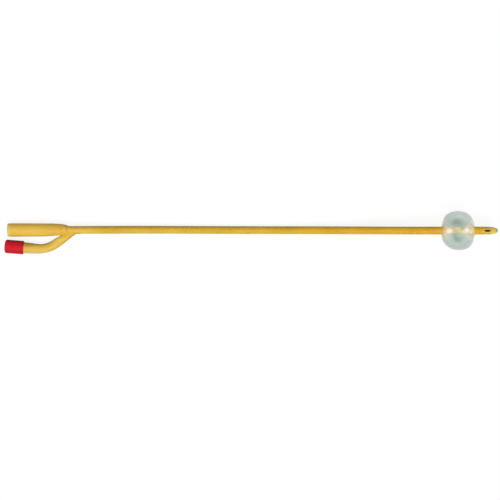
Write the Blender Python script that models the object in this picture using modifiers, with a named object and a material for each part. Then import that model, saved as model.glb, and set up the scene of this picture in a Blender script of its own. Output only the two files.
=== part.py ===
"""Foley urinary catheter with its balloon filled, lying on a flat surface.

+X runs from the drainage funnel to the tip, +Y points away from the inflation arm, +Z is up.
The surface is z = 0, and the origin is the middle of the outline on it. Units are metres.
"""

import math

import bmesh
import bpy
from mathutils import Vector

# Clearances
BOND_GAP = 0.0003
VALVE_FIT = 0.0002

# Whole object
TOTAL_LENGTH = 0.400
BALLOON_DRIFT = 0.00068
SMOOTH_ANGLE = math.radians(35.0)

# Shaft
SHAFT_RADIUS = 0.0032
NECK_RADIUS = 0.00235
DRAIN_LUMEN_RADIUS = 0.00145
DRAIN_LUMEN_OFFSET = 0.00045
FILL_LUMEN_RADIUS = 0.00035
FILL_LUMEN_OFFSET = 0.00162
FILL_LUMEN_OVERRUN = 0.003
PORT_RADIUS = 0.0005
SAG_STIFFNESS = 0.00072
SHAFT_STEP = 0.014
SHAFT_ROUTE = ((0.0, 0.0), (0.2, 0.0002), (0.45, -0.00005), (0.7, -0.00027))
SHAFT_SIDES = 20
LUMEN_SIDES = 14

# Balloon
BALLOON_RADIUS = 0.0159
BALLOON_LENGTH = 0.0262
BALLOON_TO_TIP = 0.01925
BALLOON_WALL = 0.0005
BALLOON_REAR_FULLNESS = (2.0, 3.0)
BALLOON_FRONT_FULLNESS = (2.4, 2.9)
BALLOON_FOOT_ROUND = 0.0006
REAR_CUFF_LENGTH = 0.005
FRONT_CUFF_LENGTH = 0.0035
BALLOON_SEGMENTS = 28
BALLOON_ROWS = 18

# Tip
NOSE_LENGTH = 0.0085
NOSE_FULLNESS = 2.5
SPIGOT_LENGTH = 0.0015
TIP_WALL = 0.0036
EYE_LENGTH = 0.0051
EYE_WIDTH = 0.0019
EYE_TO_END = 0.0089
EYE_STAGGER = 0.0041
EYE_ROOT = 0.00035
TIP_SEGMENTS = 24

# Drainage funnel
FUNNEL_LENGTH = 0.0487
MOUTH_RADIUS = 0.00533
BELLY_RADIUS = 0.0055
BELLY_AT = 0.0054
WAIST_RADIUS = 0.0053
WAIST_TO_COLLAR = 0.0135
SHOULDER_RADIUS = 0.00498
SHOULDER_LENGTH = 0.0065
SHOULDER_POWER = 1.8
COLLAR_RADIUS = 0.00378
COLLAR_TO_BRANCH = 0.0068
LIP_ROUND = 0.0005
MOUTH_BORE_RADIUS = 0.0042
THROAT_BORE_RADIUS = 0.0022
SOCKET_DEPTH = 0.0115
FUNNEL_SEGMENTS = 28

# Inflation arm
BRANCH_ANGLE = math.radians(34.3)
VALVE_TILT = math.radians(4.6)
ARM_RAMP = 0.0284
ARM_RUN = 0.0341
ARM_BEND_RADIUS = 0.0235
ARM_RADIUS = 0.00375
ARM_BULGE_RADIUS = 0.0045
BULGE_FROM = 0.0007
BULGE_TO = 0.0175
ARM_END_RADIUS = 0.0028
ARM_END_TAPER = 0.0186
ARM_STEP = 0.002
ARM_SIDES = 20
CHANNEL_RADIUS = 0.001

# Inflation valve, measured along its axis from the syringe face
CAP_LENGTH = 0.0148
CAP_FRONT_RADIUS = 0.00537
CAP_BACK_RADIUS = 0.0055
CAP_EDGE_ROUND = 0.0010
LUER_MOUTH_RADIUS = 0.00215
LUER_TAPER = 0.03
LUER_DEPTH = 0.0075
SEAT_THICKNESS = 0.001
SEAT_HOLE_RADIUS = 0.0014
CHAMBER_RADIUS = 0.0031
SEAL_WIRE_RADIUS = 0.0005
SEAL_RING_RADIUS = 0.00175
POPPET_HEAD_RADIUS = 0.0025
POPPET_HEAD_THICKNESS = 0.0007
POPPET_STEM_RADIUS = 0.00095
POPPET_STEM_RECESS = 0.0029
POPPET_GUIDE_RADIUS = 0.00085
POPPET_GUIDE_LENGTH = 0.0018
POPPET_TRAVEL = 0.0015
SPRING_WIRE_RADIUS = 0.00017
SPRING_COIL_RADIUS = 0.00145
SPRING_TURNS = 4
BARB_FLANGE_THICKNESS = 0.0022
BARB_RECESS_RADIUS = 0.00185
BARB_BORE_RADIUS = 0.0009
BARB_NOSE_RADIUS = 0.0016
BARB_RIDGE_RADIUS = 0.00275
BARB_GROOVE_RADIUS = 0.0022
BARB_STEP = 0.0003
BARB_FIRST_RIDGE = 0.0018
BARB_RIDGE_PITCH = 0.0036
BARB_NOSE_LENGTH = 0.0055
VALVE_SEGMENTS = 24

# Places that follow from the sizes; the longer of the two arms sets where they branch
FACE_TO_BRANCH = ARM_RUN * math.cos(VALVE_TILT) + ARM_RAMP * math.cos(BRANCH_ANGLE)
VALVE_ARM_REACH = FACE_TO_BRANCH + (CAP_FRONT_RADIUS - CAP_EDGE_ROUND) * math.sin(VALVE_TILT)
BRANCH_X = max(VALVE_ARM_REACH, FUNNEL_LENGTH + COLLAR_TO_BRANCH) - TOTAL_LENGTH / 2
VALVE_FACE_X = BRANCH_X - FACE_TO_BRANCH
VALVE_FACE_DROP = ARM_RAMP * math.sin(BRANCH_ANGLE) - ARM_RUN * math.sin(VALVE_TILT)
VALVE_REACH = (
    VALVE_FACE_DROP + CAP_LENGTH * math.sin(VALVE_TILT) + CAP_BACK_RADIUS * math.cos(VALVE_TILT)
)
AXIS_Y = (VALVE_REACH + BALLOON_DRIFT - BALLOON_RADIUS) / 2
FUNNEL_Z = max(BELLY_RADIUS, MOUTH_RADIUS)
VALVE_Z = CAP_BACK_RADIUS
BALLOON_Y = AXIS_Y - BALLOON_DRIFT
BALLOON_Z = BALLOON_RADIUS

COLLAR_X = BRANCH_X - COLLAR_TO_BRANCH
FUNNEL_MOUTH_X = COLLAR_X - FUNNEL_LENGTH
SHAFT_START_X = COLLAR_X - SOCKET_DEPTH
TIP_END_X = TOTAL_LENGTH / 2
BALLOON_FRONT_X = TIP_END_X - BALLOON_TO_TIP
BALLOON_REAR_X = BALLOON_FRONT_X - BALLOON_LENGTH
REAR_CUFF_X = BALLOON_REAR_X - REAR_CUFF_LENGTH
FRONT_CUFF_X = BALLOON_FRONT_X + FRONT_CUFF_LENGTH
NECK_START_X = REAR_CUFF_X - BOND_GAP
TIP_BODY_X = FRONT_CUFF_X + BOND_GAP
SPIGOT_X = TIP_BODY_X - SPIGOT_LENGTH
NECK_END_X = SPIGOT_X - BOND_GAP
SOCKET_RADIUS = SHAFT_RADIUS + BOND_GAP
CUFF_BORE_RADIUS = NECK_RADIUS + BOND_GAP
FUNNEL_PORT_X = BRANCH_X - SHAFT_RADIUS / math.tan(BRANCH_ANGLE)
BALLOON_PORT_X = (BALLOON_REAR_X + BALLOON_FRONT_X) / 2

SEAT_BACK = LUER_DEPTH + SEAT_THICKNESS
SEAL_CENTRE = SEAT_BACK + VALVE_FIT + SEAL_WIRE_RADIUS
HEAD_FRONT = SEAL_CENTRE + SEAL_WIRE_RADIUS + VALVE_FIT
HEAD_BACK = HEAD_FRONT + POPPET_HEAD_THICKNESS
GUIDE_END = HEAD_BACK + POPPET_GUIDE_LENGTH
FLANGE_BACK = CAP_LENGTH - VALVE_FIT
FLANGE_FRONT = FLANGE_BACK - BARB_FLANGE_THICKNESS
SPRING_SEAT = GUIDE_END + POPPET_TRAVEL + BOND_GAP
FIRST_RIDGE = FLANGE_BACK + BARB_FIRST_RIDGE
LAST_RIDGE = FIRST_RIDGE + BARB_RIDGE_PITCH
BARB_END = LAST_RIDGE + BARB_NOSE_LENGTH

# Bend of the arm
TURN = BRANCH_ANGLE + VALVE_TILT
BEND_TANGENT = ARM_BEND_RADIUS * math.tan(TURN / 2)
ARM_FIRST_STRAIGHT = ARM_RUN - CAP_LENGTH - BEND_TANGENT
ARM_ARC = ARM_BEND_RADIUS * TURN
ARM_LENGTH = ARM_FIRST_STRAIGHT + ARM_ARC + ARM_RAMP - BEND_TANGENT


def smooth_step(t):
    """Ease from 0 to 1 with a level start and end."""
    t = min(max(t, 0.0), 1.0)
    return t * t * (3.0 - 2.0 * t)


def steps(start, end, step):
    """Evenly spread values from start to end, at most a step apart."""
    count = max(1, math.ceil((end - start) / step))
    return [start + (end - start) * i / count for i in range(count + 1)]


def clear_scene():
    for obj in list(bpy.data.objects):
        bpy.data.objects.remove(obj, do_unlink=True)


def new_collection(name):
    collection = bpy.data.collections.new(name)
    bpy.context.scene.collection.children.link(collection)
    return collection


clear_scene()
PARTS = new_collection("foley_catheter")
CUTTERS = new_collection("cutters")


def finish(name, colour, roughness, metallic=0.0, transmission=0.0):
    """A plain material of one colour."""
    material = bpy.data.materials.new(name)
    material.use_nodes = True
    shader = material.node_tree.nodes["Principled BSDF"]
    shader.inputs["Base Color"].default_value = (*colour, 1.0)
    shader.inputs["Roughness"].default_value = roughness
    shader.inputs["Metallic"].default_value = metallic
    shader.inputs["Transmission Weight"].default_value = transmission
    return material


def add_mesh(name, mesh, collection, material=None):
    obj = bpy.data.objects.new(name, mesh)
    collection.objects.link(obj)
    if material:
        mesh.materials.append(material)
    mesh.shade_smooth()
    mesh.set_sharp_from_angle(angle=SMOOTH_ANGLE)
    return obj


def mark_cutter(obj):
    obj.hide_render = True
    obj.display_type = "WIRE"


def turned(name, profile, segments, collection, material=None, closed=False, start=0.0):
    """Solid of revolution about local Z; the (radius, height) profile runs down the outer side.

    An open profile starts and ends on the axis. A closed one comes back up inside, as a ring.
    The first corner is at the start angle.
    """
    mesh = bpy.data.meshes.new(name)
    bm = bmesh.new()
    first = Vector((math.cos(start), math.sin(start), 0.0))
    verts = [bm.verts.new(first * radius + Vector((0.0, 0.0, height))) for radius, height in profile]
    for upper, lower in zip(verts, verts[1:]):
        bm.edges.new((upper, lower))
    if closed:
        bm.edges.new((verts[-1], verts[0]))
    bm.to_mesh(mesh)
    bm.free()
    obj = bpy.data.objects.new(name, mesh)
    collection.objects.link(obj)
    if material:
        mesh.materials.append(material)
    screw = obj.modifiers.new("turn", "SCREW")
    screw.axis = "Z"
    screw.angle = math.tau
    screw.screw_offset = 0.0
    screw.steps = segments
    screw.render_steps = segments
    screw.use_smooth_shade = True
    screw.use_merge_vertices = not closed
    screw.merge_threshold = 0.000001
    if collection == CUTTERS:
        mark_cutter(obj)
    return obj


def along_x(obj, x, y, z, heading=0.0):
    """Place a turned piece with its local Z along +X, turned by heading in the plan."""
    obj.location = (x, y, z)
    obj.rotation_euler = (0.0, math.radians(90.0), heading)


def swept(name, points, radii, sides, collection, material=None):
    """Tube with closed ends along the points, made a welded mesh."""
    curve = bpy.data.curves.new(name + "_path", "CURVE")
    curve.dimensions = "3D"
    curve.bevel_depth = 1.0
    curve.bevel_resolution = sides // 2 - 2
    curve.use_fill_caps = True
    spline = curve.splines.new("POLY")
    spline.points.add(len(points) - 1)
    for knot, place, radius in zip(spline.points, points, radii):
        knot.co = (*place, 1.0)
        knot.radius = radius
    guide = bpy.data.objects.new(name + "_path", curve)
    collection.objects.link(guide)
    evaluated = guide.evaluated_get(bpy.context.evaluated_depsgraph_get())
    mesh = bpy.data.meshes.new_from_object(evaluated)
    mesh.name = name
    bpy.data.objects.remove(guide, do_unlink=True)
    bm = bmesh.new()
    bm.from_mesh(mesh)
    bmesh.ops.remove_doubles(bm, verts=bm.verts, dist=0.000001)
    bmesh.ops.recalc_face_normals(bm, faces=bm.faces)
    bm.to_mesh(mesh)
    bm.free()
    obj = add_mesh(name, mesh, collection, material)
    if collection == CUTTERS:
        mark_cutter(obj)
    return obj


def pin(name, start, end, radius, sides):
    """Straight round cutter between two points."""
    return swept(name, [start, end], [radius, radius], sides, CUTTERS)


def quarter(count):
    """Angles of a quarter turn from 0 to 90 degrees, in equal steps."""
    return [math.radians(90.0) * i / count for i in range(count + 1)]


def combine(obj, tool, operation):
    modifier = obj.modifiers.new(tool.name, "BOOLEAN")
    modifier.operation = operation
    modifier.solver = "EXACT"
    modifier.object = tool


# Route of the shaft: a heavy strip, held level at each end, that sags down to the surface

def drop_length(height):
    """Distance over which a level end at this height comes down to the surface."""
    return (72.0 * height * SAG_STIFFNESS) ** 0.25


def sag(height, distance_to_support):
    """Height above the resting line, at a distance from the raised end."""
    t = 1.0 - distance_to_support / drop_length(height)
    if t <= 0.0:
        return 0.0
    return height * (4.0 * t ** 3 - 3.0 * t ** 4)


def sideways(share):
    """Offset of the loosely laid shaft, at a share of its free run: smooth through the route's knots."""
    knots = list(SHAFT_ROUTE) + [(1.0, -BALLOON_DRIFT)]
    places = [place for place, _ in knots]
    offsets = [offset for _, offset in knots]
    slopes = [0.0]
    for i in range(1, len(knots) - 1):
        slopes.append((offsets[i + 1] - offsets[i - 1]) / (places[i + 1] - places[i - 1]))
    slopes.append(0.0)
    i = 0
    while i < len(knots) - 2 and share > places[i + 1]:
        i += 1
    width = places[i + 1] - places[i]
    t = min(max((share - places[i]) / width, 0.0), 1.0)
    eased = smooth_step(t)
    offset = offsets[i] * (1.0 - eased) + offsets[i + 1] * eased
    return offset + width * t * (1.0 - t) * (slopes[i] * (1.0 - t) - slopes[i + 1] * t)


def shaft_axis(x):
    """Middle of the shaft at a station along it."""
    free = min(max(x, COLLAR_X), NECK_START_X)
    z = SHAFT_RADIUS
    z += sag(FUNNEL_Z - SHAFT_RADIUS, free - COLLAR_X)
    z += sag(BALLOON_Z - SHAFT_RADIUS, NECK_START_X - free)
    return Vector((x, AXIS_Y + sideways((free - COLLAR_X) / (NECK_START_X - COLLAR_X)), z))


def shaft_tube():
    """Extruded tube with two lumens, its neck ground down where the balloon sits."""
    free = steps(COLLAR_X, NECK_START_X, SHAFT_STEP)
    stations = [SHAFT_START_X] + free + [NECK_START_X + VALVE_FIT, NECK_END_X]
    radii = [SHAFT_RADIUS] * (1 + len(free)) + [NECK_RADIUS] * 2
    material = finish("amber_latex", (0.62, 0.38, 0.09), 0.42)
    tube = swept("shaft_tube", [shaft_axis(x) for x in stations], radii, SHAFT_SIDES, PARTS, material)

    def lumen(name, first, last, offset, radius):
        inner = [x for x in free if first < x < last]
        places = [shaft_axis(x) + Vector((0.0, offset, 0.0)) for x in [first] + inner + [last]]
        cutter = swept(name, places, [radius] * len(places), LUMEN_SIDES, CUTTERS)
        combine(tube, cutter, "DIFFERENCE")

    overrun = 2 * BOND_GAP
    lumen("drain_lumen", SHAFT_START_X - overrun, NECK_END_X + overrun,
          DRAIN_LUMEN_OFFSET, DRAIN_LUMEN_RADIUS)
    lumen("fill_lumen", FUNNEL_PORT_X - FILL_LUMEN_OVERRUN, BALLOON_PORT_X + FILL_LUMEN_OVERRUN,
          -FILL_LUMEN_OFFSET, FILL_LUMEN_RADIUS)
    for name, x in (("funnel_port", FUNNEL_PORT_X), ("balloon_port", BALLOON_PORT_X)):
        centre = shaft_axis(x)
        start = centre - Vector((0.0, FILL_LUMEN_OFFSET, 0.0))
        end = centre - Vector((0.0, SHAFT_RADIUS + BOND_GAP, 0.0))
        combine(tube, pin(name, start, end, PORT_RADIUS, LUMEN_SIDES), "DIFFERENCE")


# Balloon and tip

def belly(radius, half, foot):
    """Turned outline of the belly from its front end over the equator to its rear end.

    It is a superellipse; a half's two fullness numbers square off its length and its radius.
    """
    points = []
    for i in range(BALLOON_ROWS + 1):
        angle = math.pi * i / BALLOON_ROWS
        along = math.cos(angle)
        lengthwise, across = BALLOON_REAR_FULLNESS if along < 0.0 else BALLOON_FRONT_FULLNESS
        height = radius * math.sin(angle) ** (2.0 / across)
        place = math.copysign(half * abs(along) ** (2.0 / lengthwise), along)
        if height > foot + BALLOON_FOOT_ROUND + BOND_GAP:
            points.append((height, place))
    return points


def foot_round(half):
    """Hollow corner between a cuff and the belly's end face, from the cuff upwards."""
    corner = []
    for angle in quarter(3):
        rise = BALLOON_FOOT_ROUND * (1.0 - math.cos(angle))
        corner.append((SHAFT_RADIUS + rise, half + BALLOON_FOOT_ROUND * (1.0 - math.sin(angle))))
    return corner


def balloon():
    """Thin shell with a cuff at each end."""
    half = BALLOON_LENGTH / 2
    foot = foot_round(half)
    outer = foot + belly(BALLOON_RADIUS, half, SHAFT_RADIUS)
    outer += [(radius, -place) for radius, place in reversed(foot)]
    inner_half = half - BALLOON_WALL
    inner = belly(BALLOON_RADIUS - BALLOON_WALL, inner_half, CUFF_BORE_RADIUS)
    inner = [(CUFF_BORE_RADIUS, inner_half)] + inner + [(CUFF_BORE_RADIUS, -inner_half)]
    front = half + FRONT_CUFF_LENGTH
    rear = -half - REAR_CUFF_LENGTH
    profile = [(CUFF_BORE_RADIUS, front), (SHAFT_RADIUS, front)] + outer
    profile += [(SHAFT_RADIUS, rear), (CUFF_BORE_RADIUS, rear)] + inner[::-1]
    material = finish("balloon_latex", (0.48, 0.55, 0.50), 0.25, transmission=0.4)
    obj = turned("balloon", profile, BALLOON_SEGMENTS, PARTS, material, closed=True)
    along_x(obj, BALLOON_PORT_X, BALLOON_Y, BALLOON_Z)


def tip_profile():
    """Blunt nose that swells to the full round, then the spigot, from the nose backwards."""
    points = []
    for angle in quarter(10):
        depth = NOSE_LENGTH * (1.0 - math.cos(angle))
        points.append((SHAFT_RADIUS * math.sin(angle) ** (2.0 / NOSE_FULLNESS), -depth))
    body = TIP_BODY_X - TIP_END_X
    spigot = SPIGOT_X - TIP_END_X
    points += [(SHAFT_RADIUS, body), (NECK_RADIUS, body), (NECK_RADIUS, spigot), (0.0, spigot)]
    return points


def catheter_tip():
    material = finish("tip_latex", (0.60, 0.40, 0.13), 0.38)
    obj = turned("catheter_tip", tip_profile(), TIP_SEGMENTS, PARTS, material)
    along_x(obj, TIP_END_X, BALLOON_Y, BALLOON_Z)

    bore_end = SPIGOT_X - 2 * BOND_GAP - TIP_END_X
    outline = []
    for angle in quarter(4):
        depth = TIP_WALL + DRAIN_LUMEN_RADIUS * (1.0 - math.cos(angle))
        outline.append((DRAIN_LUMEN_RADIUS * math.sin(angle), -depth))
    outline += [(DRAIN_LUMEN_RADIUS, bore_end), (0.0, bore_end)]
    bore = turned("tip_bore", outline, LUMEN_SIDES, CUTTERS)
    along_x(bore, TIP_END_X, BALLOON_Y + DRAIN_LUMEN_OFFSET, BALLOON_Z)
    combine(obj, bore, "DIFFERENCE")

    eye_x = TIP_END_X - EYE_TO_END
    reach = SHAFT_RADIUS + BOND_GAP
    for name, x, side in (("upper_eye", eye_x, 1.0), ("lower_eye", eye_x - EYE_STAGGER, -1.0)):
        root = Vector((0.0, 0.0, side * EYE_ROOT))
        eye = pin(name, root, Vector((0.0, 0.0, side * reach)), EYE_WIDTH / 2, TIP_SEGMENTS)
        for vert in eye.data.vertices:
            vert.co.x *= EYE_LENGTH / EYE_WIDTH
        eye.location = (x, BALLOON_Y, BALLOON_Z)
        combine(obj, eye, "DIFFERENCE")


# Y funnel

def funnel_profile():
    """Outline from the collar back to the mouth, with its shoulder and rolled lip."""
    points = [(0.0, FUNNEL_LENGTH)]
    shoulder_at = FUNNEL_LENGTH - SHOULDER_LENGTH
    waist_at = FUNNEL_LENGTH - WAIST_TO_COLLAR
    shoulder_steps = 8
    for i in range(shoulder_steps + 1):
        t = 1.0 - i / shoulder_steps
        rise = 1.0 - t ** SHOULDER_POWER
        radius = COLLAR_RADIUS + (SHOULDER_RADIUS - COLLAR_RADIUS) * rise
        points.append((radius, shoulder_at + SHOULDER_LENGTH * t))
    waist_steps = 4
    for i in range(1, waist_steps + 1):
        t = i / waist_steps
        radius = SHOULDER_RADIUS + (WAIST_RADIUS - SHOULDER_RADIUS) * smooth_step(t)
        points.append((radius, shoulder_at + (waist_at - shoulder_at) * t))
    points.append((BELLY_RADIUS, BELLY_AT))
    for angle in quarter(4):
        radius = MOUTH_RADIUS - LIP_ROUND * (1.0 - math.cos(angle))
        points.append((radius, LIP_ROUND * (1.0 - math.sin(angle))))
    points.append((0.0, 0.0))
    return points


def bore_profile():
    """Tapered drain bore and, past its throat, the socket that the shaft is bonded into."""
    throat = FUNNEL_LENGTH - SOCKET_DEPTH - BOND_GAP
    flare = (MOUTH_BORE_RADIUS - THROAT_BORE_RADIUS) / throat
    overrun = SOCKET_RADIUS
    far_end = FUNNEL_LENGTH + COLLAR_TO_BRANCH + overrun
    return [
        (0.0, far_end),
        (SOCKET_RADIUS, far_end),
        (SOCKET_RADIUS, throat),
        (THROAT_BORE_RADIUS, throat),
        (MOUTH_BORE_RADIUS + flare * overrun, -overrun),
        (0.0, -overrun),
    ]


def valve_point(along):
    """Point on the valve's axis, at a distance from its syringe face."""
    return Vector((
        VALVE_FACE_X + along * math.cos(VALVE_TILT),
        AXIS_Y - VALVE_FACE_DROP - along * math.sin(VALVE_TILT),
        VALVE_Z,
    ))


def arm_axis(s):
    """Middle of the inflation arm, at a distance from the back of the valve's housing."""
    rise = (FUNNEL_Z - VALVE_Z) * max(s, 0.0) / ARM_LENGTH
    lift = Vector((0.0, 0.0, rise))
    if s <= ARM_FIRST_STRAIGHT:
        return valve_point(CAP_LENGTH + s) + lift
    if s <= ARM_FIRST_STRAIGHT + ARM_ARC:
        start = valve_point(CAP_LENGTH + ARM_FIRST_STRAIGHT)
        turn = (s - ARM_FIRST_STRAIGHT) / ARM_BEND_RADIUS
        heading = turn - VALVE_TILT
        across = ARM_BEND_RADIUS * (math.cos(VALVE_TILT) - math.cos(heading))
        along = ARM_BEND_RADIUS * (math.sin(heading) + math.sin(VALVE_TILT))
        return start + Vector((along, across, 0.0)) + lift
    left = ARM_LENGTH - s
    back = Vector((math.cos(BRANCH_ANGLE), math.sin(BRANCH_ANGLE), 0.0)) * left
    return Vector((BRANCH_X, AXIS_Y, VALVE_Z)) - back + lift


def arm_radius(s):
    """Radius of the arm: swollen over the barb, even along its run, finer where it joins the shaft."""
    bulge = 1.0 - smooth_step((s - BULGE_FROM) / (BULGE_TO - BULGE_FROM))
    taper = smooth_step((s - ARM_LENGTH + ARM_END_TAPER) / ARM_END_TAPER)
    radius = ARM_RADIUS + (ARM_BULGE_RADIUS - ARM_RADIUS) * bulge
    return radius + (ARM_END_RADIUS - ARM_RADIUS) * taper


def pocket_profile():
    """Room for the barbed stem, wide over its ridges and narrowing with its nose."""
    wide = BARB_RIDGE_RADIUS + BOND_GAP
    nose = BARB_NOSE_RADIUS + BOND_GAP
    end = BARB_END + BOND_GAP
    return [(0.0, end), (nose, end), (wide, LAST_RIDGE), (wide, FLANGE_BACK), (0.0, FLANGE_BACK)]


def y_funnel():
    """One moulding: drainage funnel, inflation arm, shaft socket and the channel between them."""
    material = finish("funnel_latex", (0.76, 0.47, 0.09), 0.40)
    obj = turned("y_funnel", funnel_profile(), FUNNEL_SEGMENTS, PARTS, material)
    along_x(obj, FUNNEL_MOUTH_X, AXIS_Y, FUNNEL_Z)

    run = steps(BOND_GAP, ARM_LENGTH, ARM_STEP)
    arm = swept("arm_body", [arm_axis(s) for s in run], [arm_radius(s) for s in run], ARM_SIDES, CUTTERS)
    combine(obj, arm, "UNION")

    half_segment = math.pi / FUNNEL_SEGMENTS
    bore = turned("drain_bore", bore_profile(), FUNNEL_SEGMENTS, CUTTERS, start=half_segment)
    along_x(bore, FUNNEL_MOUTH_X, AXIS_Y, FUNNEL_Z)
    combine(obj, bore, "DIFFERENCE")

    pocket = turned("valve_pocket", pocket_profile(), VALVE_SEGMENTS, CUTTERS)
    along_x(pocket, *valve_point(0.0), -VALVE_TILT)
    combine(obj, pocket, "DIFFERENCE")

    channel_run = steps(BARB_END - CAP_LENGTH, ARM_LENGTH, ARM_STEP)
    places = [arm_axis(s) for s in channel_run]
    channel = swept("fill_channel", places, [CHANNEL_RADIUS] * len(places), LUMEN_SIDES, CUTTERS)
    combine(obj, channel, "DIFFERENCE")


# Inflation valve

def on_valve_axis(obj):
    along_x(obj, *valve_point(0.0), -VALVE_TILT)


def valve_housing():
    """Moulded head with the conical syringe socket, the seat and the spring chamber."""
    luer_end = LUER_MOUTH_RADIUS - LUER_TAPER * LUER_DEPTH
    profile = [(CHAMBER_RADIUS, CAP_LENGTH), (CAP_BACK_RADIUS, CAP_LENGTH)]
    for angle in quarter(5):
        radius = CAP_FRONT_RADIUS - CAP_EDGE_ROUND * (1.0 - math.cos(angle))
        profile.append((radius, CAP_EDGE_ROUND * (1.0 - math.sin(angle))))
    profile += [
        (LUER_MOUTH_RADIUS, 0.0),
        (luer_end, LUER_DEPTH),
        (SEAT_HOLE_RADIUS, LUER_DEPTH),
        (SEAT_HOLE_RADIUS, SEAT_BACK),
        (CHAMBER_RADIUS, SEAT_BACK),
    ]
    material = finish("red_plastic", (0.66, 0.02, 0.03), 0.30)
    on_valve_axis(turned("valve_housing", profile, VALVE_SEGMENTS, PARTS, material, closed=True))


def valve_barb():
    """Rear half of the valve: flange, spring seat and the barbed stem held in the arm."""
    flange = CHAMBER_RADIUS - VALVE_FIT
    profile = [(BARB_BORE_RADIUS, BARB_END), (BARB_NOSE_RADIUS, BARB_END)]
    for ridge in (LAST_RIDGE, FIRST_RIDGE):
        profile += [(BARB_RIDGE_RADIUS, ridge), (BARB_GROOVE_RADIUS, ridge - BARB_STEP)]
    profile += [
        (BARB_GROOVE_RADIUS, FLANGE_BACK),
        (flange, FLANGE_BACK),
        (flange, FLANGE_FRONT),
        (BARB_RECESS_RADIUS, FLANGE_FRONT),
        (BARB_RECESS_RADIUS, SPRING_SEAT),
        (BARB_BORE_RADIUS, SPRING_SEAT),
    ]
    material = finish("natural_plastic", (0.80, 0.79, 0.74), 0.38)
    on_valve_axis(turned("valve_barb", profile, VALVE_SEGMENTS, PARTS, material, closed=True))


def valve_poppet():
    """Stem that the syringe pushes, head that carries the seal, and guide for the spring."""
    chamfer = VALVE_FIT
    front = POPPET_STEM_RECESS
    profile = [
        (0.0, GUIDE_END),
        (POPPET_GUIDE_RADIUS - chamfer, GUIDE_END),
        (POPPET_GUIDE_RADIUS, GUIDE_END - chamfer),
        (POPPET_GUIDE_RADIUS, HEAD_BACK),
        (POPPET_HEAD_RADIUS, HEAD_BACK),
        (POPPET_HEAD_RADIUS, HEAD_FRONT),
        (POPPET_STEM_RADIUS, HEAD_FRONT),
        (POPPET_STEM_RADIUS, front + chamfer),
        (POPPET_STEM_RADIUS - chamfer, front),
        (0.0, front),
    ]
    material = finish("white_plastic", (0.86, 0.86, 0.84), 0.32)
    on_valve_axis(turned("valve_poppet", profile, VALVE_SEGMENTS, PARTS, material))


def valve_seal():
    """Round ring on the poppet's stem, against the seat."""
    section = 8
    profile = []
    for i in range(section):
        angle = -math.tau * i / section
        radius = SEAL_RING_RADIUS + SEAL_WIRE_RADIUS * math.cos(angle)
        profile.append((radius, SEAL_CENTRE + SEAL_WIRE_RADIUS * math.sin(angle)))
    material = finish("seal_rubber", (0.10, 0.10, 0.11), 0.55)
    on_valve_axis(turned("valve_seal", profile, VALVE_SEGMENTS, PARTS, material, closed=True))


def valve_spring():
    """Steel coil between the poppet's head and the barb's recess."""
    low = HEAD_BACK + VALVE_FIT + SPRING_WIRE_RADIUS
    high = SPRING_SEAT - VALVE_FIT - SPRING_WIRE_RADIUS
    per_turn = 12
    count = SPRING_TURNS * per_turn
    places = []
    for i in range(count + 1):
        angle = math.tau * i / per_turn
        place = (SPRING_COIL_RADIUS * math.cos(angle), SPRING_COIL_RADIUS * math.sin(angle))
        places.append(Vector((*place, low + (high - low) * i / count)))
    material = finish("spring_steel", (0.55, 0.55, 0.57), 0.28, metallic=1.0)
    radii = [SPRING_WIRE_RADIUS] * len(places)
    on_valve_axis(swept("valve_spring", places, radii, 8, PARTS, material))


shaft_tube()
balloon()
catheter_tip()
y_funnel()
valve_housing()
valve_barb()
valve_poppet()
valve_seal()
valve_spring()
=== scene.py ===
import math

import bpy
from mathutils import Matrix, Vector


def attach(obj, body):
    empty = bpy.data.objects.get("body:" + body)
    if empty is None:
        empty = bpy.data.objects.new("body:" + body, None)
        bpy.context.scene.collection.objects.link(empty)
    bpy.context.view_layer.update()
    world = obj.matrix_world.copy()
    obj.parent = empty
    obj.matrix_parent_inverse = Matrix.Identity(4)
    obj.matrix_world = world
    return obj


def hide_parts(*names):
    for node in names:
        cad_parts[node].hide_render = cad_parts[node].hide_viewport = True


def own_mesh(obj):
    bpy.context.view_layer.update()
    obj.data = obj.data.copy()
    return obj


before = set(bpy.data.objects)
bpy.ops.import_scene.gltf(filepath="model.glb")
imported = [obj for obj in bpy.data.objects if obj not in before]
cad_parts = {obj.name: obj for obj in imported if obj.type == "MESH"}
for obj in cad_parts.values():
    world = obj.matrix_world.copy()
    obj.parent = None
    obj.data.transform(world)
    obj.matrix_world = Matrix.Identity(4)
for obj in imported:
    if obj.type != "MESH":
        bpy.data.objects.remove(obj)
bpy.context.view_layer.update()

# The catheter lies along X with its tip at +X, and its inflation arm on the -Y side. Lengths are in metres.

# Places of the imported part
AXIS_Y = 0.0023593
FUNNEL_Z = 0.0055
FUNNEL_MOUTH_X = -0.1976982
COLLAR_X = -0.1489982
BRANCH_X = -0.1421982
SHAFT_START_X = -0.1604982
NECK_START_X = 0.14925
NECK_END_X = 0.18275
FUNNEL_PORT_X = -0.1468892
BALLOON_X = 0.16765
BALLOON_Y = 0.0016793
BALLOON_Z = 0.0159
TIP_START_X = 0.18305
TIP_BODY_X = 0.18455
TIP_END_X = 0.2
VALVE_FACE = Vector((-0.1996495, -0.0109101, FUNNEL_Z))
VALVE_TILT = math.radians(4.6)
VALVE_LINE = Vector((math.cos(VALVE_TILT), -math.sin(VALVE_TILT), 0.0))

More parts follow.
